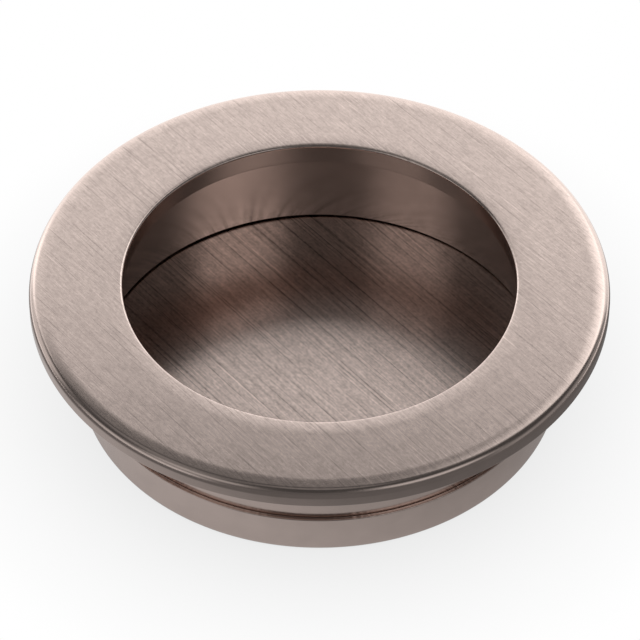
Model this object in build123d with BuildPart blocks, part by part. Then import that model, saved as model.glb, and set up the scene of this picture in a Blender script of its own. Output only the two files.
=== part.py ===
from build123d import *
from math import radians, sin
import os

# Round recessed pull for a sliding door: a cast ring, whose flange covers the edge of the hole and
# whose lip overhangs the recess for the fingertips, closed from below by a pressed pan.
# Lengths are in millimetres. The origin is the centre of the pan's underside, +Z out of the door.

# Body that goes into the door
body_diameter = 54.8
overall_height = 15.0

# Pressed pan
pan_sheet = 0.5
pan_height = 4.95
pan_inside_bevel = 0.3
pan_edge_break = 0.12

# Collar of the ring, gripped by the pan
press_clearance = 0.03
collar_wall = 1.4
floor_gap = 0.25

# Flange of the ring
flange_overlap = 5.1
flange_edge_height = 2.2
shoulder_radius = 3.3
shoulder_turn = 30
shoulder_edge_radius = 0.7
flange_edge_break = 0.12

# Lip that overhangs the recess
lip_overhang = 3.22
lip_height = 2.8
mouth_roll_width = 2.0
mouth_roll_drop = 0.2
lip_edge_break = 0.15

# Radii, worked outwards in from the body and back out to the flange
body_radius = body_diameter / 2
pan_bore_radius = body_radius - pan_sheet
collar_radius = pan_bore_radius - press_clearance
recess_radius = collar_radius - collar_wall
mouth_radius = recess_radius - lip_overhang
flange_radius = body_radius + flange_overlap

# The shoulder starts above the centre of its wide arc, which meets the tighter edge arc in line
edge_centre_radius = flange_radius - shoulder_edge_radius
centre_offset = (shoulder_radius - shoulder_edge_radius) * sin(radians(shoulder_turn))
shoulder_start_radius = edge_centre_radius - centre_offset

# Heights
flange_seat_z = overall_height - flange_edge_height
lip_underside_z = overall_height - lip_height
floor_z = pan_sheet
collar_foot_z = floor_z + floor_gap

# The foot of the collar is bevelled outside, to clear the bevel in the bend of the pan
foot_bevel = min(pan_inside_bevel, collar_wall / 2)


# Ring: the half-section, turned once round Z
with BuildPart() as ring:
    with BuildSketch(Plane.XZ) as ring_section:
        with BuildLine():
            # soft roll of the top face down to the mouth of the recess
            mouth_roll = TangentArc(
                (mouth_radius + mouth_roll_width, overall_height),
                (mouth_radius, overall_height - mouth_roll_drop),
                tangent=(-1, 0),
            )
            # soft shoulder of the top face, then a tighter turn down into the outer edge
            shoulder = JernArc(
                (shoulder_start_radius, overall_height), (1, 0), shoulder_radius, -shoulder_turn
            )
            shoulder_edge = JernArc(shoulder @ 1, shoulder % 1, shoulder_edge_radius, shoulder_turn - 90)
            Line(mouth_roll @ 0, shoulder @ 0)
            Polyline(
                shoulder_edge @ 1,
                (flange_radius, flange_seat_z),
                (collar_radius, flange_seat_z),
                (collar_radius, collar_foot_z + foot_bevel),
                (collar_radius - foot_bevel, collar_foot_z),
                (recess_radius, collar_foot_z),
                (recess_radius, lip_underside_z),
                (mouth_radius, lip_underside_z),
                mouth_roll @ 1,
            )
        make_face()
        seat_corner = ring_section.vertices().group_by(Axis.X)[-1].sort_by(Axis.Y)[0]
        chamfer(seat_corner, flange_edge_break)
        lip_corners = ring_section.vertices().group_by(Axis.X)[0]
        chamfer(lip_corners, lip_edge_break)
    revolve(axis=Axis.Z)

ring.part.label = "ring"


# Pan: one thickness of sheet, floor and wall, its bend rounded outside and bevelled inside
with BuildPart() as pan:
    with BuildSketch(Plane.XZ) as pan_section:
        with BuildLine():
            outside = FilletPolyline(
                (0, 0),
                (body_radius, 0),
                (body_radius, pan_height),
                radius=pan_sheet + pan_inside_bevel,
            )
            inside = Polyline(
                (0, floor_z),
                (pan_bore_radius - pan_inside_bevel, floor_z),
                (pan_bore_radius, floor_z + pan_inside_bevel),
                (pan_bore_radius, pan_height),
            )
            Line(outside @ 0, inside @ 0)
            Line(outside @ 1, inside @ 1)
        make_face()
        chamfer(pan_section.vertices().group_by(Axis.Y)[-1], pan_edge_break)
    revolve(axis=Axis.Z)

pan.part.label = "pan"


os.makedirs("parts", exist_ok=True)
export_step(ring.part, "parts/ring.step")
export_step(pan.part, "parts/pan.step")

print(f"flange {2 * flange_radius:.1f} mm, mouth {2 * mouth_radius:.1f} mm, recess {2 * recess_radius:.1f} mm")
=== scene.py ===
import math
import bpy
import numpy as np
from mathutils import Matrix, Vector


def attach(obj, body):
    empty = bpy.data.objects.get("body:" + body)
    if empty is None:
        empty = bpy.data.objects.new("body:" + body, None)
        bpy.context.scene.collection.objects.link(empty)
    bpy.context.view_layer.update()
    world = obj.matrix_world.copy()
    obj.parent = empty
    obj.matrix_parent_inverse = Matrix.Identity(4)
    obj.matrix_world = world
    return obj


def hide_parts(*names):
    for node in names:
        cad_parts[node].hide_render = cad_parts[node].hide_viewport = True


# Round recessed pull: a cast ring with a brushed flange, closed from below by a pressed pan.
# Lengths in the settings are millimetres; mm turns them into Blender's metres.
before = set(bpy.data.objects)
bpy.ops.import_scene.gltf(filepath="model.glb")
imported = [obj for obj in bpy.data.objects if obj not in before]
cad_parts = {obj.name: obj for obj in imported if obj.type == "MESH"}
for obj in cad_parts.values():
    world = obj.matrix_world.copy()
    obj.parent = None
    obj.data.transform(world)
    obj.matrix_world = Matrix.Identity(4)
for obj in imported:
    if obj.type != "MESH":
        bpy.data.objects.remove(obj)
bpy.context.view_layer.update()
mm = 0.001
scene = bpy.context.scene
scene.view_settings.view_transform = "Standard"


def cadPoints(node):  # a CAD node's vertices: distance from the axis and height, in mm
    co = np.array([v.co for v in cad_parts[node].data.vertices]) / mm
    return np.hypot(co[:, 0], co[:, 1]), co[:, 2]


ringR, ringZ = cadPoints("ring")
panR, panZ = cadPoints("pan")
topZ = ringZ.max()
footZ = ringZ.min()
flangeRadius = ringR.max()
mouthRadius = ringR.min()
collarRadius = ringR[ringZ < panZ.max()].max()
recessRadius = ringR[ringZ < panZ.max()].min()
bodyRadius = panR.max()
panHeight = panZ.max()
print("frame read: flange %.1f mm, mouth %.1f mm" % (2 * flangeRadius, 2 * mouthRadius))


# Camera, at the photo's angle
cameraSettings = {
    "distance": 400.0,       # to the point looked at
    "elevation": 44.88,
    "targetHeight": 8.316,   # on the axis, above the pan's underside
    "focalPixels": 3535.9,
    "imageWidth": 640,
    "centrePixel": (319.5, 320.0),
    "sensorWidth": 36.0,
    "sees": (10.0, 10000.0),     # nearest and farthest
}


def makeCamera(s):
    data = bpy.data.cameras.new("camera")
    camera = bpy.data.objects.new("camera", data)
    scene.collection.objects.link(camera)
    e = math.radians(s["elevation"])
    back = Vector((0, -math.cos(e), math.sin(e)))
    camera.location = (Vector((0, 0, s["targetHeight"])) + back * s["distance"]) * mm
    camera.rotation_euler = (-back).to_track_quat("-Z", "Y").to_euler()
    data.sensor_width = s["sensorWidth"]
    data.lens = s["focalPixels"] * data.sensor_width / s["imageWidth"]
    data.shift_x = (s["imageWidth"] / 2 - s["centrePixel"][0]) / s["imageWidth"]
    data.shift_y = (s["centrePixel"][1] - s["imageWidth"] / 2) / s["imageWidth"]
    data.clip_start = s["sees"][0] * mm
    data.clip_end = s["sees"][1] * mm
    scene.camera = camera


makeCamera(cameraSettings)


# Surfaces
# Outline through corners (r, z, radius, steps), as points in order. A corner with a radius is an arc
# tangent to both sides: its centre is the corner plus the bisector times radius / sin(half angle).
# A guard point just past each end of an arc keeps the flat beside it flat under smooth shading.
def roundedOutline(corners, guard=0.02):
    corner = np.array([c[:2] for c in corners], float)
    radius = np.array([c[2] for c in corners], float)
    side = np.roll(corner, -1, 0) - corner
    length = np.hypot(*side.T)
    after = side / length[:, None]
    before = -np.roll(after, 1, 0)
    half = np.arccos(np.clip((before * after).sum(1), -1, 1)) / 2
    reach = np.where(radius > 0, radius / np.tan(half), 0)
    free = length - reach - np.roll(reach, -1)
    guardRoom = 4 * guard                        # a shorter flat gets no guard points
    out = []
    for i, (_, _, bend, steps) in enumerate(corners):
        if bend == 0:
            out.append(corner[i:i + 1])
            continue
        bisector = (before[i] + after[i]) / np.hypot(*(before[i] + after[i]))
        centre = corner[i] + bisector * bend / math.sin(half[i])
        start = corner[i] + before[i] * reach[i] - centre
        end = corner[i] + after[i] * reach[i] - centre
        a0, a1 = math.atan2(start[1], start[0]), math.atan2(end[1], end[0])
        turn = (a1 - a0 + math.pi) % (2 * math.pi) - math.pi
        a = a0 + turn * np.linspace(0, 1, steps + 1)
        arc = centre + bend * np.stack([np.cos(a), np.sin(a)], axis=1)
        meets = free[i - 1] < guardRoom          # the arc before ends where this one starts
        out.append(arc[1:] if meets else np.concatenate([[centre + start + before[i] * guard], arc]))
        if free[i] >= guardRoom:
            out.append((centre + end + after[i] * guard)[None])
    return np.concatenate(out)


# Turned surface P(u, v) = (r(v) cos u, r(v) sin u, z(v)), u round the axis and v along the outline.
# rough(r, z, u) may shift r and z. An outline that ends on the axis gets one vertex there, with a fan.
# Outlines run clockwise with r to the right and z up, so that the faces look outward.
def turned(name, outline, around, closed=True, rough=None):
    u = np.arange(around) * 2 * math.pi / around
    r, z = outline[:, 0], outline[:, 1]
    poles = [i for i in (0, len(r) - 1) if r[i] < 1e-9]
    rings = [i for i in range(len(r)) if i not in poles]
    rr = np.repeat(r[rings][:, None], around, 1)
    zz = np.repeat(z[rings][:, None], around, 1)
    if rough is not None:
        rr, zz = rough(rr, zz, u)
    points = np.stack([rr * np.cos(u), rr * np.sin(u), zz], axis=2).reshape(-1, 3)
    m = len(rings)
    i, j = np.meshgrid(np.arange(m if closed else m - 1), np.arange(around), indexing="ij")
    i2, j2 = (i + 1) % m, (j + 1) % around
    quads = np.stack([i * around + j, i2 * around + j, i2 * around + j2, i * around + j2], axis=2)
    faces = quads.reshape(-1, 4).tolist()
    if poles:
        points = np.concatenate([points, [(0, 0, z[k]) for k in poles]])
        j = np.arange(around)
        first = np.stack([np.full(around, m * around), j, (j + 1) % around], axis=1)
        last = (m - 1) * around + np.stack([(j + 1) % around, j], axis=1)
        last = np.concatenate([np.full((around, 1), m * around + 1), last], axis=1)
        faces += first.tolist() + last.tolist()
    mesh = bpy.data.meshes.new(name)
    mesh.from_pydata((points * mm).tolist(), [], faces)
    mesh.polygons.foreach_set("use_smooth", np.ones(len(mesh.polygons), bool))
    mesh.update()
    piece = bpy.data.objects.new(name, mesh)
    scene.collection.objects.link(piece)
    return piece


ringSettings = {
    "around": 720,
    "shoulderRadius": 11.0, "shoulderTurn": 6, "shoulderEdge": 1.0,
    "seatHeight": 2.2, "seatEdge": 0.12, "seatFillet": 0.1,
    "footEdge": 0.2, "innerFootEdge": 0.1,
    "footDrop": 0.05, "footTilt": 0.1,       # the ring sits a little askew: the gap is wider at -X
    "tiltHeight": 1.0,       # the tilt fades out over this height
    "lipHeight": 2.8, "lipEdge": 0.15, "underLipEdge": 0.4,
    "wallLean": 1.0,         # degrees, outwards on the way up to the lip
    "mouthTrim": 0.25,       # the top edge stands in over the face of the lip, which is undercut to it
    "mouthRollWidth": 2.0, "mouthRollDrop": 0.04, "mouthEdge": 0.3,
}


def tangentRun(r1, turn1, r2, turn2):  # between two corners whose arcs meet in line, turns in radians
    return r1 * math.tan(turn1 / 2) + r2 * math.tan(turn2 / 2)


def ringOutline(s):
    shoulderTurn = math.radians(s["shoulderTurn"])
    slope = tangentRun(s["shoulderRadius"], shoulderTurn, s["shoulderEdge"], math.pi / 2 - shoulderTurn)
    width, drop, edge = s["mouthRollWidth"], s["mouthRollDrop"], s["mouthEdge"]
    rollRadius = (width ** 2 + drop ** 2) / (2 * drop)
    rollTurn = math.asin((width - edge) / (rollRadius - edge))
    undercut = math.atan(s["mouthTrim"] / s["lipHeight"])
    fall = tangentRun(rollRadius, rollTurn, edge, math.pi / 2 - rollTurn + undercut)
    mouthR = mouthRadius - s["mouthTrim"]
    seatZ = topZ - s["seatHeight"]
    lipZ = topZ - s["lipHeight"]
    wallLean = (lipZ - footZ) * math.tan(math.radians(s["wallLean"]))
    return roundedOutline([
        (flangeRadius - slope * math.cos(shoulderTurn), topZ, s["shoulderRadius"], 10),
        (flangeRadius, topZ - slope * math.sin(shoulderTurn), s["shoulderEdge"], 18),
        (flangeRadius, seatZ, s["seatEdge"], 5),
        (collarRadius, seatZ, s["seatFillet"], 4),
        (collarRadius, footZ - s["footDrop"], s["footEdge"], 3),
        (recessRadius, footZ - s["footDrop"], s["innerFootEdge"], 4),
        (recessRadius + wallLean, lipZ, s["underLipEdge"], 5),
        (mouthRadius, lipZ, s["lipEdge"], 5),
        (mouthR, topZ - fall * math.sin(rollTurn), edge, 10),
        (mouthR + fall * math.cos(rollTurn), topZ, rollRadius, 8),
    ])


panSettings = {
    "around": 1200,
    "sheet": 0.5, "bend": 0.8, "insideBend": 0.3, "rimEdge": 0.12,
    "rimWander": 0.025,      # how far the sheared rim strays
    "rimSeed": 7,
}


def panOutline(s):
    boreR = bodyRadius - s["sheet"]
    return roundedOutline([
        (0, s["sheet"], 0, 0),
        (boreR, s["sheet"], s["insideBend"], 4),
        (boreR, panHeight, s["rimEdge"], 4),
        (bodyRadius, panHeight, s["rimEdge"], 4),
        (bodyRadius, 0, s["bend"], 8),
        (0, 0, 0, 0),
    ])


# The sheared rim: r and z sink by a random share of rimWander, only on the points of its rounded edge
def shearedRim(r, z, u):
    s = panSettings
    dice = np.random.default_rng(s["rimSeed"])
    wander = dice.random((2, 1, len(u)))
    wander = (wander + np.roll(wander, 1, 2)) / 2
    share = np.clip((z - (panHeight - s["rimEdge"])) / s["rimEdge"] * 2, 0, 1)
    return r - share * s["rimWander"] * wander[0], z - share * s["rimWander"] * wander[1]


# The foot of the collar: z sinks by footTilt cos u, less and less up to tiltHeight above the foot
def askewFoot(r, z, u):
    s = ringSettings
    share = np.clip((footZ - z) / s["tiltHeight"] + 1, 0, 1)
    return r, z - share * s["footTilt"] * np.cos(u)


ring = turned("ring_surface", ringOutline(ringSettings), ringSettings["around"], rough=askewFoot)
pan = turned("pan_surface", panOutline(panSettings), panSettings["around"], closed=False, rough=shearedRim)
for piece, node, slotName in ((ring, "ring", "brushed_nickel"), (pan, "pan", "brushed_pan")):
    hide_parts(node)
    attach(piece, "root")
print("surfaces done: %d and %d faces" % (len(ring.data.polygons), len(pan.data.polygons)))


# Materials
def linear(hexColour):  # sRGB hex to linear RGB
    c = [int(hexColour[i:i + 2], 16) / 255 for i in (1, 3, 5)]
    return [x / 12.92 if x <= 0.04045 else ((x + 0.055) / 1.055) ** 2.4 for x in c]


def addNode(tree, kind, links=None, **settings):  # one node, its settings, and what feeds its sockets
    node = tree.nodes.new(kind)
    for key, value in settings.items():
        setattr(node, key, value)
    for socket, source in (links or {}).items():
        if isinstance(source, bpy.types.NodeSocket):
            tree.links.new(source, node.inputs[socket])
        else:
            node.inputs[socket].default_value = source
    return node


def newMaterial(name):
    material = bpy.data.materials.new(name)
    material.use_nodes = True
    material.node_tree.nodes.clear()
    return material, material.node_tree


# Brushed nickel: plate over fine straight grinding lines, so highlights spread across the lines.
# A layer is (length along the lines, width across, depth, detail, from, to): noise stretched to that
# size. Its values between from and to make the tone: a range about the middle darkens as much as it
# lightens, and a high one leaves only a few lines.
flangeSettings = {
    "colour": "#cdbcb4",
    "grainAngle": -51.0,      # from +X towards -Y
    "roughness": 0.17,
    "anisotropy": 0.6,
    "brushEnds": (31.0, 32.4),     # radii between which the brush fades into the satin
    "layers": [
        (2.2, 0.22, 0.13, 3.0, 0.25, 0.75),    # short lines, drawn coarser than the real grit to show
        (12.0, 0.16, -0.24, 1.0, 0.60, 0.72),  # single darker scratches
        (8.0, 0.14, 0.20, 1.0, 0.62, 0.74),    # and lighter ones
        (0.4, 0.25, 0.12, 2.0, 0.25, 0.75),    # grain of the plate
        (1.6, 1.1, 0.05, 2.0, 0.25, 0.75),     # and its cloudy patches
    ],
    "bump": 0.0012,
}

# The floor of the pan: the same brushing with longer and deeper lines, which run from edge to edge
panFloorSettings = {
    "colour": "#d6c4bc",
    "grainAngle": -51.0,
    "roughness": 0.28,
    "anisotropy": 0.6,
    "brushEnds": (26.3, 26.5),
    "layers": [
        (60.0, 0.50, 0.22, 4.0, 0.25, 0.75),   # long lines
        (45.0, 0.28, -0.40, 1.0, 0.57, 0.69),  # single dark scratches
        (25.0, 0.20, 0.30, 1.0, 0.60, 0.72),   # and light ones
        (1.5, 0.22, 0.16, 2.0, 0.25, 0.75),    # short lines
        (0.4, 0.3, 0.20, 2.0, 0.25, 0.75),     # grain of the plate
        (1.8, 1.2, 0.07, 2.0, 0.25, 0.75),     # and its cloudy patches
    ],
    "bump": 0.0012,
}

noiseLow, noiseHigh = 0.25, 0.75     # nearly all of a noise lies between these
lineGrit = 0.6                       # how strongly each finer octave of the lines shows


def brushedNickel(name, s):
    material, tree = newMaterial(name)
    place = addNode(tree, "ShaderNodeTexCoord").outputs["Object"]
    angle = math.radians(s["grainAngle"])
    flat = addNode(tree, "ShaderNodeVectorMath", {0: place, 1: (1, 1, 0)}, operation="MULTIPLY").outputs[0]
    radius = addNode(tree, "ShaderNodeVectorMath", {0: flat}, operation="LENGTH").outputs["Value"]
    start, end = s["brushEnds"]
    brushed = addNode(tree, "ShaderNodeMapRange", {
        "Value": radius, "From Min": start * mm, "From Max": end * mm, "To Min": 1.0, "To Max": 0.0},
        interpolation_type="SMOOTHSTEP").outputs[0]
    along = addNode(tree, "ShaderNodeMapping", {"Vector": place, "Rotation": (0, 0, -angle)}).outputs[0]
    tone = 1.0
    for length, width, depth, detail, low, high in s["layers"]:
        isCentred = low + high == 1
        size = addNode(tree, "ShaderNodeMapping", {
            "Vector": along, "Scale": (1 / (length * mm), 1 / (width * mm), 1 / (length * mm))}).outputs[0]
        noise = addNode(tree, "ShaderNodeTexNoise", {
            "Vector": size, "Scale": 1.0, "Detail": detail, "Roughness": lineGrit}).outputs["Fac"]
        shift = addNode(tree, "ShaderNodeMapRange", {
            "Value": noise, "From Min": low, "From Max": high,
            "To Min": -depth if isCentred else 0.0, "To Max": depth}).outputs[0]
        tone = addNode(tree, "ShaderNodeMath", {0: shift, 1: tone}, operation="ADD").outputs[0]
    tone = addNode(tree, "ShaderNodeMix", {0: brushed, 2: 1.0, 3: tone}, data_type="FLOAT").outputs[0]
    colour = addNode(tree, "ShaderNodeVectorMath", {0: linear(s["colour"]), "Scale": tone},
                     operation="SCALE").outputs[0]
    lines = addNode(tree, "ShaderNodeBump", {"Height": tone, "Distance": s["bump"] * mm}).outputs[0]
    across = addNode(tree, "ShaderNodeCombineXYZ", {0: -math.sin(angle), 1: math.cos(angle)}).outputs[0]
    roughness = addNode(tree, "ShaderNodeMix", {
        0: brushed, 2: satinSettings["roughness"], 3: s["roughness"]}, data_type="FLOAT").outputs[0]
    spread = addNode(tree, "ShaderNodeMath", {0: brushed, 1: s["anisotropy"]},
                     operation="MULTIPLY").outputs[0]
    shader = addNode(tree, "ShaderNodeBsdfPrincipled", {
        "Base Color": colour, "Metallic": 1.0, "Roughness": roughness,
        "Anisotropic": spread, "Tangent": across, "Normal": lines}).outputs[0]
    addNode(tree, "ShaderNodeOutputMaterial", {"Surface": shader})
    return material


# Satin nickel: plate over a turned and tumbled casting, smooth to the eye, with faint clouds
satinSettings = {
    "colour": "#d6c4bc",
    "roughness": 0.2,
    "cloudSize": 2.5, "cloudDepth": 0.04, "cloudDetail": 3.0,
}


def satinNickel(name, s):
    material, tree = newMaterial(name)
    place = addNode(tree, "ShaderNodeTexCoord").outputs["Object"]
    noise = addNode(tree, "ShaderNodeTexNoise", {
        "Vector": place, "Scale": 1 / (s["cloudSize"] * mm), "Detail": s["cloudDetail"]}).outputs["Fac"]
    tone = addNode(tree, "ShaderNodeMapRange", {
        "Value": noise, "From Min": noiseLow, "From Max": noiseHigh,
        "To Min": 1 - s["cloudDepth"], "To Max": 1 + s["cloudDepth"]}).outputs[0]
    colour = addNode(tree, "ShaderNodeVectorMath", {0: linear(s["colour"]), "Scale": tone},
                     operation="SCALE").outputs[0]
    shader = addNode(tree, "ShaderNodeBsdfPrincipled", {
        "Base Color": colour, "Metallic": 1.0, "Roughness": s["roughness"]}).outputs[0]
    addNode(tree, "ShaderNodeOutputMaterial", {"Surface": shader})
    return material


satin = satinNickel("satin_nickel_plate", satinSettings)
brushedFlange = brushedNickel("brushed_nickel_flange", flangeSettings)
brushedPanFloor = brushedNickel("brushed_nickel_floor", panFloorSettings)


# Where the brush goes: faces near these heights that look up this much (1 is straight up)
brushSettings = {
    "flangeDepth": 0.5,                             # below the top face
    "flangeUp": math.cos(math.radians(75)),         # over the shoulder, where the brush has faded out
    "panFloorRise": 0.1,                            # above the floor
    "panFloorUp": 0.9,
}


# Slot 0 of the piece is base. Slot 1 is top, for the faces where isTop(height, normal's z) holds.
def paint(piece, base, top, isTop):
    mesh = piece.data
    mesh.materials.append(base)
    mesh.materials.append(top)
    count = len(mesh.polygons)
    centre, normal = np.empty(count * 3), np.empty(count * 3)
    mesh.polygons.foreach_get("center", centre)
    mesh.polygons.foreach_get("normal", normal)
    picked = isTop(centre.reshape(-1, 3)[:, 2] / mm, normal.reshape(-1, 3)[:, 2])
    mesh.polygons.foreach_set("material_index", picked.astype(np.int32))
    mesh.update()


flangeBottom = topZ - brushSettings["flangeDepth"]
panFloorTop = panSettings["sheet"] + brushSettings["panFloorRise"]
paint(ring, satin, brushedFlange, lambda z, nz: (z > flangeBottom) & (nz > brushSettings["flangeUp"]))
paint(pan, satin, brushedPanFloor, lambda z, nz: (z < panFloorTop) & (nz > brushSettings["panFloorUp"]))
print("materials done")


# Floor and sky. The sky's windows light the metal; the camera sees plain white behind the floor.
# A window is (azimuth of its middle, 90 being behind the pull; half width; lowest and highest
# elevation; softness of its edges, all in degrees; radiance).
studioSettings = {
    "skyBase": 0.07,
    "windows": {
        "back": (86, 48, -4, 46.4, 3, 0.95),
        "backLow": (88, 42, -8, 36, 14, 0.4),
        "backRight": (60, 18, 30, 60, 14, 0.9),
        "backLeft": (143, 22, -6, 32, 16, 0.75),
        "aboveBack": (75, 45, 48, 68, 16, 0.12),
        "top": (0, 180, 80, 95, 10, 0.2),
        "aboveLeft": (180, 40, 52, 74, 16, 0.2),
        "frontLeft": (-138, 20, 32, 52, 16, 0.5),
        "frontLeftLow": (-155, 25, -6, 22, 16, 0.55),
        "frontRight": (-46, 22, 32, 54, 16, 0.66),
        "front": (-90, 75, -8, 40, 10, 0.07),
        "right": (5, 30, -6, 25, 20, 0.25),
    },
    "floorColour": "#f2f2f2",
    "floorSize": 3000.0,
    "shadowReach": 22.0,
    "shadowForMetal": 0.4, "shadowForCamera": 0.26,     # depth of the shadow, as each sees it
    "poolCentre": (-9.0, 0.0),   # pool of light round the pull, as the metal sees it
    "poolRadius": 24.0, "poolEdge": 52.0, "poolInside": 0.64, "poolOutside": 0.15,
    "behindFrom": 14.0, "behindTo": 42.0, "behindGlow": 1.35,   # the floor brightens again behind it
}


def studioSky(s):
    world = bpy.data.worlds.new("studio")
    scene.world = world
    world.use_nodes = True
    tree = world.node_tree
    tree.nodes.clear()
    direction = addNode(tree, "ShaderNodeTexCoord").outputs["Generated"]
    xyz = addNode(tree, "ShaderNodeSeparateXYZ", {0: direction}).outputs
    elevation = addNode(tree, "ShaderNodeMath", {0: xyz["Z"]}, operation="ARCSINE").outputs[0]
    azimuth = addNode(tree, "ShaderNodeMath", {0: xyz["Y"], 1: xyz["X"]}, operation="ARCTAN2").outputs[0]
    total = s["skyBase"]
    for centre, halfWidth, low, high, soft, radiance in s["windows"].values():
        off = addNode(tree, "ShaderNodeMath", {0: azimuth, 1: math.radians(centre)}, operation="SUBTRACT")
        off = addNode(tree, "ShaderNodeMath", {0: off.outputs[0], 1: math.pi, 2: -math.pi}, operation="WRAP")
        off = addNode(tree, "ShaderNodeMath", {0: off.outputs[0]}, operation="ABSOLUTE")
        edges = ((off.outputs[0], halfWidth + soft / 2, halfWidth - soft / 2),
                 (elevation, low - soft / 2, low + soft / 2),
                 (elevation, high + soft / 2, high - soft / 2))
        glow = radiance
        for value, dark, lit in edges:
            edge = addNode(tree, "ShaderNodeMapRange", {
                "Value": value, "From Min": math.radians(dark), "From Max": math.radians(lit)},
                interpolation_type="SMOOTHSTEP").outputs[0]
            glow = addNode(tree, "ShaderNodeMath", {0: edge, 1: glow}, operation="MULTIPLY").outputs[0]
        total = addNode(tree, "ShaderNodeMath", {0: glow, 1: total}, operation="ADD").outputs[0]
    path = addNode(tree, "ShaderNodeLightPath").outputs
    studio = addNode(tree, "ShaderNodeBackground", {"Color": (1, 1, 1, 1), "Strength": total}).outputs[0]
    plain = addNode(tree, "ShaderNodeBackground", {"Color": (1, 1, 1, 1), "Strength": 1.0}).outputs[0]
    seen = addNode(tree, "ShaderNodeMixShader", {0: path["Is Camera Ray"], 1: studio, 2: plain}).outputs[0]
    addNode(tree, "ShaderNodeOutputWorld", {"Surface": seen})


# White floor with the pull's own soft shadow, for the camera and for the metal that reflects it
def studioFloor(s):
    half = s["floorSize"] / 2 * mm
    mesh = bpy.data.meshes.new("floor")
    corners = [(-half, -half, 0), (half, -half, 0), (half, half, 0), (-half, half, 0)]
    mesh.from_pydata(corners, [], [(0, 1, 2, 3)])
    floor = bpy.data.objects.new("floor", mesh)
    scene.collection.objects.link(floor)
    material, tree = newMaterial("white_floor")
    path = addNode(tree, "ShaderNodeLightPath").outputs
    place = addNode(tree, "ShaderNodeTexCoord").outputs["Object"]
    middle = (s["poolCentre"][0] * mm, s["poolCentre"][1] * mm, 0)
    away = addNode(tree, "ShaderNodeVectorMath", {0: place, 1: middle},
                   operation="DISTANCE").outputs["Value"]
    pool = addNode(tree, "ShaderNodeMapRange", {
        "Value": away, "From Min": s["poolRadius"] * mm, "From Max": s["poolEdge"] * mm,
        "To Min": s["poolInside"], "To Max": s["poolOutside"]}, interpolation_type="SMOOTHSTEP").outputs[0]
    y = addNode(tree, "ShaderNodeSeparateXYZ", {0: place}).outputs["Y"]
    behind = addNode(tree, "ShaderNodeMapRange", {
        "Value": y, "From Min": s["behindFrom"] * mm, "From Max": s["behindTo"] * mm,
        "To Max": s["behindGlow"]}).outputs[0]
    pool = addNode(tree, "ShaderNodeMath", {0: pool, 1: behind}, operation="MAXIMUM").outputs[0]
    near = addNode(tree, "ShaderNodeAmbientOcclusion", {"Distance": s["shadowReach"] * mm}).outputs["AO"]
    metalShade = addNode(tree, "ShaderNodeMapRange", {
        "Value": near, "To Min": 1 - s["shadowForMetal"]}).outputs[0]
    cameraShade = addNode(tree, "ShaderNodeMapRange", {
        "Value": near, "To Min": 1 - s["shadowForCamera"]}).outputs[0]
    reflected = addNode(tree, "ShaderNodeMath", {0: metalShade, 1: pool}, operation="MULTIPLY").outputs[0]
    strength = addNode(tree, "ShaderNodeMix", {
        0: path["Is Camera Ray"], 2: reflected, 3: cameraShade}, data_type="FLOAT").outputs[0]
    white = addNode(tree, "ShaderNodeEmission", {"Strength": strength}).outputs[0]
    plain = addNode(tree, "ShaderNodeBsdfDiffuse", {"Color": (*linear(s["floorColour"]), 1)}).outputs[0]
    seen = addNode(tree, "ShaderNodeMath", {
        0: path["Is Camera Ray"], 1: path["Is Glossy Ray"]}, operation="MAXIMUM").outputs[0]
    seen = addNode(tree, "ShaderNodeMath", {
        0: seen, 1: path["Is Transmission Ray"]}, operation="MAXIMUM").outputs[0]
    surface = addNode(tree, "ShaderNodeMixShader", {0: seen, 1: plain, 2: white}).outputs[0]
    addNode(tree, "ShaderNodeOutputMaterial", {"Surface": surface})
    mesh.materials.append(material)


studioSky(studioSettings)
studioFloor(studioSettings)
print("studio done")
